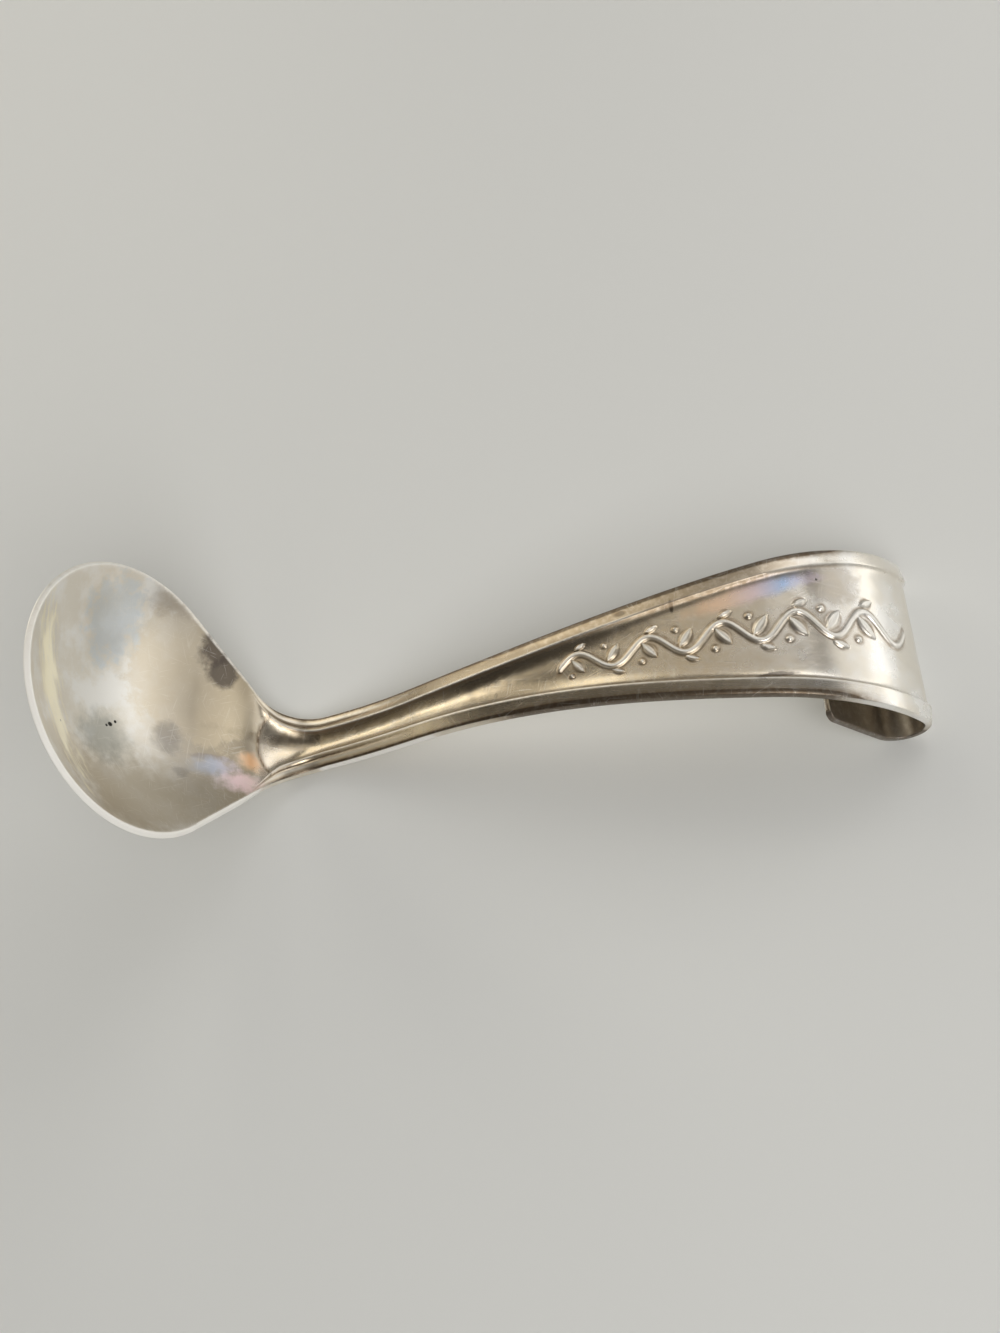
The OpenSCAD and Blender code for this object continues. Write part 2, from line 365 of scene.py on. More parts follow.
def backSizes(way):
    # the back's half width, and its depth at the edge and in the middle
    settled = settling(way)
    half = halfWidth(way) + joinFlange * (1 - smooth(share(way, *blank["slantEnd"])))
    edge = backRise(way) + mix(blank["sheet"] * math.cos(rimSlope), blank["sheet"], settled)
    centre = hollow(way) + backRise(way) + mix(floorWall, blank["sheet"], settled)
    return half, edge, np.where(way < floorAt, capDepth(way, outR), centre)


# how finely the sections are drawn; points nearer than merge, in mm, become one; smoothTo is in degrees
ring = {"border": 18, "panel": 120, "bend": 4, "side": 2, "back": 24, "merge": 1e-4, "smoothTo": 40.0}
frontCount = 2 * ring["border"] + ring["panel"] + 1
edgeCount = 2 * ring["bend"] + ring["side"] + 2
borderSteps = np.arange(ring["border"]) / ring["border"]
panelSteps = np.linspace(1.0, -1.0, ring["panel"] + 1)
backSteps = np.linspace(-1.0, 1.0, ring["back"] + 1)
bendSteps = np.arange(1, ring["bend"] + 1) / (ring["bend"] + 1)
sideSteps = np.linspace(0.0, 1.0, ring["side"] + 2)
roundShare = blank["edgeRound"] / blank["sheet"]


def roundedTurn(first, corner, last):
    # points of a small round between two lines that meet at the corner
    return [first * (1 - t) ** 2 + corner * 2 * t * (1 - t) + last * t * t for t in bendSteps]


def sectionRings(stations):
    # closed rings (y, height) for every station: front from +y to -y, edge, back, edge
    way = stations[:, None]
    half = halfWidth(way)
    reach = mix(blank["edgeRound"] / math.sin(joinTurn), blank["edgeRound"], settling(way))
    inBorder = reach + (borderWidth(way) - reach) * borderSteps
    frontY = np.hstack([half - inBorder, (half - borderWidth(way)) * panelSteps, (inBorder - half)[:, ::-1]])
    front = np.stack([frontY, -frontDepth(way, frontY)], axis=2)
    backHalf, backEdge, backCentre = backSizes(way)
    backY = (backHalf - reach) * backSteps
    backDrop = backEdge + arcDepth(backY, backHalf, backCentre - backEdge) - endRound(way)
    back = np.stack([backY, -backDrop], axis=2)
    frontCorner = np.stack([-half, -frontDepth(way, half)], axis=2)[:, 0]
    backCorner = np.stack([-backHalf, -(backEdge - endRound(way))], axis=2)[:, 0]
    high = mix(frontCorner, backCorner, roundShare)
    low = mix(frontCorner, backCorner, 1 - roundShare)
    edge = roundedTurn(front[:, -1], frontCorner, high)
    edge += [mix(high, low, t) for t in sideSteps]
    edge += roundedTurn(low, backCorner, back[:, 0])
    edge = np.stack(edge, axis=1)
    mirrored = edge[:, ::-1] * (-1.0, 1.0)
    return np.concatenate([front, edge, back, mirrored], axis=1)


def hookEye():
    x, z, slope = hookStage[1:]
    return x + math.sin(slope) * hookFrontR, z - math.cos(slope) * hookFrontR


heelSteps = 2000


def restTilt():
    # the spoon lies on the neck's heel and on the hook
    ways = np.linspace(joinAt, blank["panelAt"], heelSteps)
    x, z, slope = placeAt(ways)
    lowest = backSizes(ways)[2]
    eyeX, eyeZ = hookEye()
    gapX = eyeX - (x + np.sin(slope) * lowest)
    gapZ = eyeZ - (z - np.cos(slope) * lowest)
    return float(np.max(np.arctan2(gapZ, gapX) - np.arcsin(hookFrontR / np.hypot(gapX, gapZ))))


# the rest frame: the tilt turns the rim's frame, and the hook's eye gives the place
eyePlace = Vector(frame["record"]["mounts"][0]["pos_m"]) / mm
tilt = restTilt()
turned = Matrix.Rotation(tilt, 4, "Y")
eyeTurned = turned @ Vector((hookEye()[0], 0.0, hookEye()[1]))
toRest = Matrix.Scale(mm, 4) @ Matrix.Translation(eyePlace - eyeTurned) @ turned
print("rest tilt found:", round(math.degrees(tilt), 2), "degrees")

# the cut edges: stretches in mm of way where they are brown, tarnish and painted shade together, or scuffed,
# and how rubbed they are;
# back is the grey behind, painted shade inside the hook's curl, which comes up round the hook's start
edgeTones = {
    "brownUp": (52.0, 60.0), "brownDown": (98.0, 106.0), "hookBrown": 4.0,
    "bright": 0.75, "dull": 0.08,
    "scuffUp": (26.0, 30.0), "scuffDown": (46.0, 54.0),
    "back": 0.5, "backBefore": 4.0, "backPast": 3.0,
}


def ringMarks(stations, rings):
    # tarnish and painted shade, wear and front face for every ring point
    way = stations[:, None]
    tarnishAndShade = np.zeros(rings.shape[:2])
    wear = np.zeros(rings.shape[:2])
    tarnishAndShade[:, :frontCount], wear[:, :frontCount] = frontMarks(way, rings[:, :frontCount, 0])
    # the cut edges brown along the panel and round the hook: tarnish, and painted shade
    edgeTarnishAndShade = between(way, edgeTones["brownUp"], edgeTones["brownDown"])
    edgeTarnishAndShade = np.maximum(edgeTarnishAndShade, share(way, hookAt, hookAt + edgeTones["hookBrown"]))
    scuff = between(way, edgeTones["scuffUp"], edgeTones["scuffDown"])
    onRim = 1 - smooth(share(way, *blank["brimEnd"]))
    rubbedAndGleam = np.maximum(mix(edgeTones["bright"], edgeTones["dull"], edgeTarnishAndShade), onRim)
    inside = edgeGap(way, rings[:, :frontCount, 0]) * math.sin(joinTurn) / math.cos(rimSlope)
    brim = onRim * (1 - share(inside, *blank["brim"]))
    wear[:, :frontCount] = np.maximum(wear[:, :frontCount], brim)
    wear[:, frontCount:frontCount + edgeCount] = np.maximum(rubbedAndGleam, scuff)
    wear[:, -edgeCount:] = rubbedAndGleam
    # painted shade: the back turns grey from the hook's start on, inside the curl and along the tail
    backGrey = share(way, hookAt - edgeTones["backBefore"], hookAt + edgeTones["backPast"])
    tarnishAndShade[:, frontCount:] = edgeTones["back"] * backGrey
    tarnishAndShade[:, frontCount:frontCount + edgeCount] = edgeTarnishAndShade
    tarnishAndShade[:, -edgeCount:] = edgeTarnishAndShade
    face = np.ones(rings.shape[:2])
    face[:, frontCount + edgeCount:-edgeCount] = 0.0
    return tarnishAndShade, wear, face


def addMark(piece, name, values):
    kind = "FLOAT" if values.ndim == 1 else "FLOAT_VECTOR"
    mark = piece.data.attributes.new(name, kind, "POINT")
    mark.data.foreach_set("value" if values.ndim == 1 else "vector", values.astype(np.float32).ravel())


def pressStrip(name, stations):
    # a fine grid is bent round the ring sections, closed along its seam and filled at both ends
    rings = sectionRings(stations)
    x, z, slope = (values[:, None] for values in placeAt(stations))
    y, height = rings[:, :, 0], rings[:, :, 1]
    points = np.stack([x - np.sin(slope) * height, y, z + np.cos(slope) * height], axis=2)
    points = np.concatenate([points, points[:, :1]], axis=1)
    marks = {"blankPlace": np.stack([np.broadcast_to(stations[:, None], y.shape), y, height], axis=2)}
    marks["tarnishAndShade"], marks["wear"], marks["face"] = ringMarks(stations, rings)
    bpy.ops.object.select_all(action="DESELECT")
    bpy.ops.mesh.primitive_grid_add(x_subdivisions=y.shape[1], y_subdivisions=len(stations) - 1, size=1.0)
    piece = bpy.context.object
    piece.name = name
    piece.data.vertices.foreach_set("co", points.astype(np.float32).ravel())
    for key, values in marks.items():
        values = np.concatenate([values, values[:, :1]], axis=1)
        addMark(piece, key, values.reshape(-1, 3) if values.ndim == 3 else values.ravel())
    bpy.ops.object.mode_set(mode="EDIT")
    bpy.ops.mesh.select_all(action="SELECT")
    bpy.ops.mesh.remove_doubles(threshold=ring["merge"])
    bpy.ops.mesh.fill_holes(sides=0)
    bpy.ops.mesh.select_all(action="SELECT")
    bpy.ops.mesh.normals_make_consistent(inside=False)
    bpy.ops.object.mode_set(mode="OBJECT")
    return piece


def wallProfile(steps):
    # the bowl's wall from the middle of its inside, over the rim, to the middle of its outside
    inner = np.linspace(0.0, rimSlope - blank["edgeRound"] / capR, steps)
    outer = np.linspace(rimSlope - blank["edgeRound"] / outR, 0.0, steps)
    rimIn = np.array((bowlR, 0.0))
    rimOut = np.array((rimOutR, capZ - outR * math.cos(rimSlope)))
    high = mix(rimIn, rimOut, roundShare)
    low = mix(rimIn, rimOut, 1 - roundShare)
    profile = [np.array((capR * math.sin(a), capZ - capR * math.cos(a))) for a in inner]
    profile += roundedTurn(profile[-1], rimIn, high)
    profile += [mix(high, low, t) for t in sideSteps]
    wall = [np.array((outR * math.sin(a), capZ - outR * math.cos(a))) for a in outer]
    return profile + roundedTurn(low, rimOut, wall[0]) + wall


def spinBowl(name, setting):
    # the profile is drawn out, spun round the middle and cut where the throat takes over
    profile = wallProfile(setting["arcSteps"])
    bpy.ops.object.select_all(action="DESELECT")
    bpy.ops.mesh.primitive_plane_add(size=1.0)
    piece = bpy.context.object
    piece.name = name
    bpy.ops.object.mode_set(mode="EDIT")
    bpy.ops.mesh.merge(type="CENTER")
    bpy.ops.transform.translate(value=(profile[0][0], 0.0, profile[0][1]))
    for here, there in zip(profile, profile[1:]):
        step = there - here
        bpy.ops.mesh.extrude_region_move(TRANSFORM_OT_translate={"value": (step[0], 0.0, step[1])})
    bpy.ops.mesh.select_all(action="SELECT")
    bpy.ops.mesh.spin(steps=setting["spinSteps"], angle=2 * math.pi, center=(0, 0, 0), axis=(0, 0, 1))
    bpy.ops.mesh.select_all(action="SELECT")
    bpy.ops.mesh.remove_doubles(threshold=ring["merge"])
    bpy.ops.mesh.select_all(action="SELECT")
    bpy.ops.mesh.bisect(plane_co=(joinAt, 0, 0), plane_no=(1, 0, 0), use_fill=True, clear_outer=True)
    bpy.ops.mesh.select_all(action="SELECT")
    bpy.ops.mesh.normals_make_consistent(inside=False)
    bpy.ops.object.mode_set(mode="OBJECT")
    places = np.empty(len(piece.data.vertices) * 3)
    piece.data.vertices.foreach_get("co", places)
    places = places.reshape(-1, 3)
    outward = np.hypot(places[:, 0], places[:, 1])
    fromCap = np.hypot(outward, places[:, 2] - capZ)
    slope = np.arctan2(outward, capZ - places[:, 2])
    addMark(piece, "blankPlace", places)
    addMark(piece, "tarnishAndShade", np.zeros(len(places)))
    addMark(piece, "wear", 1 - share((rimSlope - slope) * fromCap, *blank["brim"]))
    addMark(piece, "face", (fromCap < capR + blank["sheet"] / 2).astype(float))
    return piece


def finishPiece(piece, node, material):
    piece.matrix_world = toRest
    bpy.ops.object.select_all(action="DESELECT")
    piece.select_set(True)
    bpy.context.view_layer.objects.active = piece
    bpy.ops.object.transform_apply(location=True, rotation=True, scale=True)
    bpy.ops.object.shade_smooth_by_angle(angle=math.radians(ring["smoothTo"]))
    piece.data.materials.clear()
    piece.data.materials.append(material)
    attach(piece, "root")
    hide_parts(node)
    print(node, "made:", len(piece.data.vertices), "points")


def feed(tree, made, inputs):
    for key, value in inputs.items():
        if isinstance(value, bpy.types.NodeSocket):
            tree.links.new(value, made.inputs[key])
        else:
            made.inputs[key].default_value = value


def addNode(tree, kind, inputs, **settings):
    made = tree.nodes.new(kind)
    for key, value in settings.items():
        setattr(made, key, value)
    feed(tree, made, inputs)
    return made


def useGroup(tree, group, inputs):
    made = tree.nodes.new("ShaderNodeGroup")
    made.node_tree = group
    feed(tree, made, inputs)
    return made.outputs[0]


def sums(tree, operation, a, b=0.0, c=0.0):
    return addNode(tree, "ShaderNodeMath", {0: a, 1: b, 2: c}, operation=operation).outputs[0]


def product(tree, *factors):
    result = factors[0]
    for factor in factors[1:]:
        result = sums(tree, "MULTIPLY", result, factor)
    return result


def ranged(tree, value, low, high, toLow=0.0, toHigh=1.0):
    inputs = {"Value": value, "From Min": low, "From Max": high, "To Min": toLow, "To Max": toHigh}
    return addNode(tree, "ShaderNodeMapRange", inputs, interpolation_type="SMOOTHSTEP").outputs["Result"]


def mixed(tree, factor, a, b):
    return addNode(tree, "ShaderNodeMix", {0: factor, 6: a, 7: b}, data_type="RGBA").outputs[2]


def noise(tree, place, scale, detail, rough):
    inputs = {"Vector": place, "Scale": scale, "Detail": detail, "Roughness": rough}
    return addNode(tree, "ShaderNodeTexNoise", inputs).outputs["Fac"]


def newGroup(name, inputs, output):
    tree = bpy.data.node_groups.new(name, "ShaderNodeTree")
    for socket, kind in inputs.items():
        tree.interface.new_socket(name=socket, in_out="INPUT", socket_type=kind)
    tree.interface.new_socket(name=output, in_out="OUTPUT", socket_type="NodeSocketFloat")
    return tree, tree.nodes.new("NodeGroupInput").outputs, tree.nodes.new("NodeGroupOutput").inputs


# worn silver plate: colours, roughness, where time has marked it and where light and shade are painted on it
plate = {
    "silver": (0.84, 0.80, 0.72, 1), "milky": (0.92, 0.91, 0.88, 1), "warm": (0.74, 0.62, 0.44, 1),
    "brown": (0.26, 0.185, 0.115, 1), "sootAndShade": (0.085, 0.07, 0.055, 1), "wornAndGleamWhite": (0.95, 0.93, 0.88, 1),
    "cream": (0.36, 0.305, 0.225, 1),
    "rough": 0.2, "roughCloud": 0.13, "roughWorn": 0.24, "roughBowl": 0.08, "roughBrown": 0.12,
    # noise: scale, detail and roughness
    "cloud": (0.17, 5.0, 0.62), "fleck": (1.1, 4.0, 0.65),
    # ranges of a value: from, to, and what they become where that isn't 0 and 1
    "cloudCut": (0.42, 0.62), "neckFleck": (0.2, 0.7, 0.7, 1.0),
    "brownFleck": (0.25, 0.6, 0.5, 1.0), "sootCut": (0.8, 1.0, 0.0, 0.65), "wornFleck": (0.3, 0.6, 0.35, 0.8),
    "rimCut": (0.8, 1.0), "filmCloud": (0.3, 0.6), "filmFleck": (0.35, 0.6, 0.9, 1.0),
    # ranges along the blank in mm, and one across it
    "neckUp": (17.0, 27.0), "neckDown": (106.0, 80.0), "throatDarkUp": (0.0, 17.0), "throatDarkDown": (23.0, 19.0),
    "bowlEnd": (24.0, 14.0), "filmBowl": (20.0, 4.0), "filmArch": (94.0, 106.0), "filmFar": (-4.0, -12.0),
    # across the blank: how much whiter the rim is painted towards its near side, as a highlight
    "rimSide": (9.0, -3.0, 0.1, 1.0),
    # strengths, and depths in mm
    "backCloud": 0.2, "dull": 0.95, "pitSoot": 0.9, "scratchShine": 0.16, "rimCalm": 0.85,
    "film": 0.22, "filmThin": 0.4,
    "scratchDepth": 0.0022, "pitDepth": 0.05,
}
smudgeSet = {"torn": (0.55, 4.0, 0.6), "tornMiddle": 0.5, "edge": 1.1}
scratchSet = {"turns": (12, 61, 104, 158), "shift": (7.3, 3.1), "draw": (0.16, 5.5, 1.0),
              "noise": (1.0, 2.0, 0.5), "cut": (0.655, 0.71)}
pitSet = {"scale": 0.5, "rare": (0.86, 0.88), "radius": 0.11, "core": 0.4}
dentSet = {"draw": (0.6, 1.0, 1.0), "grain": (2.0, 0.55),
           "layers": ((0.16, 0.10), (0.5, 0.016), (2.4, 0.0014))}  # scale, height in mm


def makeSmudge():
    # a ragged patch round a middle; reach is one over the patch's half sizes
    tree, given, result = newGroup("smudge", {"Place": "NodeSocketVector", "Middle": "NodeSocketVector",
                                              "Reach": "NodeSocketVector", "Ragged": "NodeSocketFloat",
                                              "Soft": "NodeSocketFloat"}, "Mask")
    off = addNode(tree, "ShaderNodeVectorMath", {0: given["Place"], 1: given["Middle"]}, operation="SUBTRACT")
    near = addNode(tree, "ShaderNodeVectorMath", {0: off.outputs[0], 1: given["Reach"]}, operation="MULTIPLY")
    far = addNode(tree, "ShaderNodeVectorMath", {0: near.outputs[0]}, operation="LENGTH").outputs["Value"]
    torn = sums(tree, "SUBTRACT", noise(tree, given["Place"], *smudgeSet["torn"]), smudgeSet["tornMiddle"])
    far = sums(tree, "MULTIPLY_ADD", torn, given["Ragged"], far)
    full = sums(tree, "SUBTRACT", smudgeSet["edge"], given["Soft"])
    tree.links.new(ranged(tree, far, smudgeSet["edge"], full), result["Mask"])
    return tree


def makeScratches():
    # thin lines: noise drawn out along several ways and cut near its top
    tree, given, result = newGroup("scratches", {"Place": "NodeSocketVector"}, "Lines")
    lines = 0.0
    for count, turn in enumerate(scratchSet["turns"]):
        turnedPlace = addNode(tree, "ShaderNodeVectorRotate",
                              {"Vector": given["Place"], "Angle": math.radians(turn)},
                              rotation_type="Z_AXIS").outputs[0]
        shift = (*(count * size for size in scratchSet["shift"]), 0.0)
        drawn = addNode(tree, "ShaderNodeMapping", {"Vector": turnedPlace, "Location": shift,
                                                    "Scale": scratchSet["draw"]}).outputs[0]
        line = ranged(tree, noise(tree, drawn, *scratchSet["noise"]), *scratchSet["cut"])
        lines = sums(tree, "MAXIMUM", lines, line)
    tree.links.new(lines, result["Lines"])
    return tree


def makePits():
    # a few of many cells keep a pit in their middle
    tree, given, result = newGroup("pits", {"Place": "NodeSocketVector"}, "Pits")
    cells = addNode(tree, "ShaderNodeTexVoronoi", {"Vector": given["Place"], "Scale": pitSet["scale"]})
    kept = ranged(tree, cells.outputs["Color"], *pitSet["rare"])
    spot = ranged(tree, cells.outputs["Distance"], pitSet["radius"], pitSet["radius"] * pitSet["core"])
    tree.links.new(product(tree, kept, spot), result["Pits"])
    return tree


def makeDents():
    # height in mm of old knocks, rubbing and fine grain together
    tree, given, result = newGroup("dents", {"Place": "NodeSocketVector"}, "Height")
    inputs = {"Vector": given["Place"], "Scale": dentSet["draw"]}
    drawn = addNode(tree, "ShaderNodeMapping", inputs).outputs[0]
    height = 0.0
    for scale, size in dentSet["layers"]:
        height = sums(tree, "MULTIPLY_ADD", noise(tree, drawn, scale, *dentSet["grain"]), size, height)
    tree.links.new(height, result["Height"])
    return tree


# middle, half sizes, raggedness, softness, strength and colour of each old stain, and of the painted shade
# among them, in mm on the flat blank
stainsAndShade = {
    "bowlCream": ((13.6, 8.6, 0.0), (11.0, 10.4), 0.9, 0.2, 0.5, (0.66, 0.57, 0.42, 1)),
    # painted shade with tarnish: a dark patch by the rim on the throat's +y side, standing in for a dark
    # reflection
    "bowlShade": ((13.8, 11.4, 0.0), (2.6, 3.0), 0.9, 0.5, 0.85, (0.10, 0.082, 0.07, 1)),
    "bowlShadow": ((15.4, 8.6, 0.0), (2.5, 2.4), 0.9, 0.5, 0.85, (0.095, 0.08, 0.07, 1)),
    "bowlBrow": ((6.4, 15.4, 0.0), (5.8, 2.2), 1.6, 0.9, 0.4, (0.34, 0.28, 0.23, 1)),
    "bowlLow": ((2.0, -11.8, 0.0), (13.5, 8.4), 1.0, 0.7, 0.66, (0.48, 0.41, 0.30, 1)),
    "bowlGrey": ((-0.5, -3.4, 0.0), (5.2, 4.3), 0.9, 0.8, 0.62, (0.36, 0.37, 0.34, 1)),
    "bowlSpot": ((9.2, -1.3, 0.0), (2.6, 2.8), 1.1, 0.8, 0.72, (0.30, 0.28, 0.26, 1)),
    "bowlBlue": ((-1.3, 11.7, 0.0), (4.9, 6.3), 1.9, 0.6, 0.6, (0.68, 0.77, 0.86, 1)),
    "bowlFleck": ((10.3, -6.2, 0.0), (1.3, 1.0), 2.0, 0.7, 0.4, (0.26, 0.24, 0.23, 1)),
    "bowlVeil": ((14.4, -3.4, 0.0), (3.2, 0.55), 1.0, 0.4, 0.45, (0.28, 0.25, 0.25, 1)),
    "pitOne": ((1.75, -0.8, 0.0), (0.24, 0.24), 0.3, 0.5, 1.0, (0.015, 0.012, 0.01, 1)),
    "pitTwo": ((0.95, -1.35, 0.0), (0.40, 0.34), 0.5, 0.5, 1.0, (0.015, 0.012, 0.01, 1)),
    "pitThree": ((0.35, -1.65, 0.0), (0.22, 0.2), 0.3, 0.5, 1.0, (0.015, 0.012, 0.01, 1)),
    "neckFleck": ((29.3, 0.9, 0.0), (0.4, 0.45), 0.8, 0.4, 0.8, (0.06, 0.05, 0.04, 1)),
    "neckSpeck": ((57.0, -1.3, 0.0), (0.35, 0.5), 0.8, 0.4, 0.8, (0.08, 0.065, 0.05, 1)),
    "edgeNick": ((74.6, 5.2, 0.0), (0.9, 0.5), 1.6, 0.6, 0.7, (0.05, 0.04, 0.03, 1)),
    # painted shade: the lower half of the neck's channel and its lower border are painted dark brown
    "neckLowerShade": ((59.5, -1.4, 0.0), (14.0, 2.5), 0.7, 0.9, 0.92, (0.23, 0.19, 0.135, 1)),
    "edgeLine": ((81.1, 4.9, 0.0), (0.3, 1.0), 0.6, 0.5, 0.85, (0.05, 0.04, 0.03, 1)),
    "lowMark": ((92.5, -6.5, 0.0), (3.0, 0.5), 1.2, 0.5, 0.8, (0.10, 0.085, 0.08, 1)),
    "archSmut": ((101.5, 5.5, 0.0), (4.5, 3.2), 1.3, 0.5, 0.45, (0.33, 0.28, 0.22, 1)),
}
# tones, painted shade and a painted reflection: middle and half sizes in mm, lean sideways per mm of way, and
# colours along the blank at their ways
tonesAndPaintedLight = {
    # painted shade: the upper half of the neck's channel is painted dark brown, standing in for a dark
    # reflection
    "neckUpperShade": {
        "middle": (50.0, 2.1, 0.0), "half": (33.0, 1.9), "lean": 0.035,
        "ragged": 0.7, "soft": 0.5, "strength": 0.8, "film": 0.0,
        "along": ((24.0, (0.24, 0.19, 0.13)), (56.0, (0.20, 0.16, 0.11)), (78.0, (0.34, 0.28, 0.20))),
    },
    "handleBloom": {
        "middle": (90.8, 4.9, 0.0), "half": (9.4, 1.7), "lean": 0.175,
        "ragged": 0.7, "soft": 0.7, "strength": 0.85, "film": 0.4,
        "along": ((82.5, (1.0, 0.66, 0.40)), (88.0, (1.0, 0.72, 0.52)), (91.5, (0.92, 0.74, 0.78)),
                  (95.2, (0.44, 0.64, 1.0)), (98.8, (0.70, 0.58, 0.84))),
    },
    # painted reflection: the bowl's left wall is painted a warm yellow-white and made less metallic, standing
    # in for the reflection of a bright warm light
    "bowlPaintedGleam": {
        "middle": (-10.6, -0.2, 0.0), "half": (5.4, 6.4), "lean": -1.9,
        "ragged": 2.4, "soft": 0.9, "strength": 1.0, "film": 0.95,
        "along": ((-15.0, (1.0, 0.93, 0.68)), (-6.0, (1.0, 0.95, 0.76))),
    },
    "bowlSlate": {
        "middle": (14.6, -4.7, 0.0), "half": (4.8, 1.8), "lean": 0.0,
        "ragged": 1.5, "soft": 0.9, "strength": 0.75, "film": 0.35,
        "along": ((10.5, (0.46, 0.47, 0.49)), (14.6, (0.50, 0.55, 0.68)), (17.5, (0.72, 0.64, 0.74))),
    },
    "bowlBloom": {
        "middle": (18.2, -6.3, 0.0), "half": (4.8, 1.9), "lean": 0.12,
        "ragged": 1.3, "soft": 0.8, "strength": 0.8, "film": 0.4,
        "along": ((14.0, (0.78, 0.70, 0.74)), (17.5, (1.0, 0.76, 0.80)), (21.5, (1.0, 0.78, 0.76))),
    },
    "bowlEmber": {
        "middle": (20.3, -2.9, 0.0), "half": (2.6, 2.0), "lean": 0.0,
        "ragged": 1.1, "soft": 0.9, "strength": 0.85, "film": 0.4,
        "along": ((18.0, (1.0, 0.80, 0.62)), (20.3, (1.0, 0.60, 0.32)), (22.0, (1.0, 0.66, 0.42))),
    },
}


def stainAndShadePlate(tree, smudge, colour, place, face):
    for middle, half, ragged, soft, strength, patchColour in stainsAndShade.values():
        mask = useGroup(tree, smudge, {"Place": place, "Middle": middle, "Ragged": ragged, "Soft": soft,
                                       "Reach": (1 / half[0], 1 / half[1], 0.0)})
        colour = mixed(tree, product(tree, mask, strength, face), colour, patchColour)
    return colour


def tonePlate(tree, smudge, colour, place, along, face):
    # each patch, painted shade and painted reflection included, follows the edge, so its place is sheared by
    # its lean; gives the films' mask too
    film = 0.0
    for tonedPatch in tonesAndPaintedLight.values():
        leaning = product(tree, sums(tree, "SUBTRACT", along, tonedPatch["middle"][0]), -tonedPatch["lean"])
        shift = addNode(tree, "ShaderNodeCombineXYZ", {1: leaning}).outputs[0]
        sheared = addNode(tree, "ShaderNodeVectorMath", {0: place, 1: shift}, operation="ADD").outputs[0]
        mask = useGroup(tree, smudge, {"Place": sheared, "Middle": tonedPatch["middle"],
                                       "Ragged": tonedPatch["ragged"], "Soft": tonedPatch["soft"],
                                       "Reach": (1 / tonedPatch["half"][0], 1 / tonedPatch["half"][1], 0.0)})
        first, last = tonedPatch["along"][0][0], tonedPatch["along"][-1][0]
        length = last - first
        ramp = addNode(tree, "ShaderNodeValToRGB",
                       {0: sums(tree, "MULTIPLY_ADD", along, 1 / length, -first / length)})
        while len(ramp.color_ramp.elements) < len(tonedPatch["along"]):
            ramp.color_ramp.elements.new(0.5)
        for element, (at, tint) in zip(ramp.color_ramp.elements, tonedPatch["along"]):
            element.position = (at - first) / length
            element.color = (*tint, 1.0)
        mask = product(tree, mask, tonedPatch["strength"], face)
        colour = mixed(tree, mask, colour, ramp.outputs["Color"])
        film = sums(tree, "MAXIMUM", film, product(tree, mask, tonedPatch["film"]))
    return colour, film


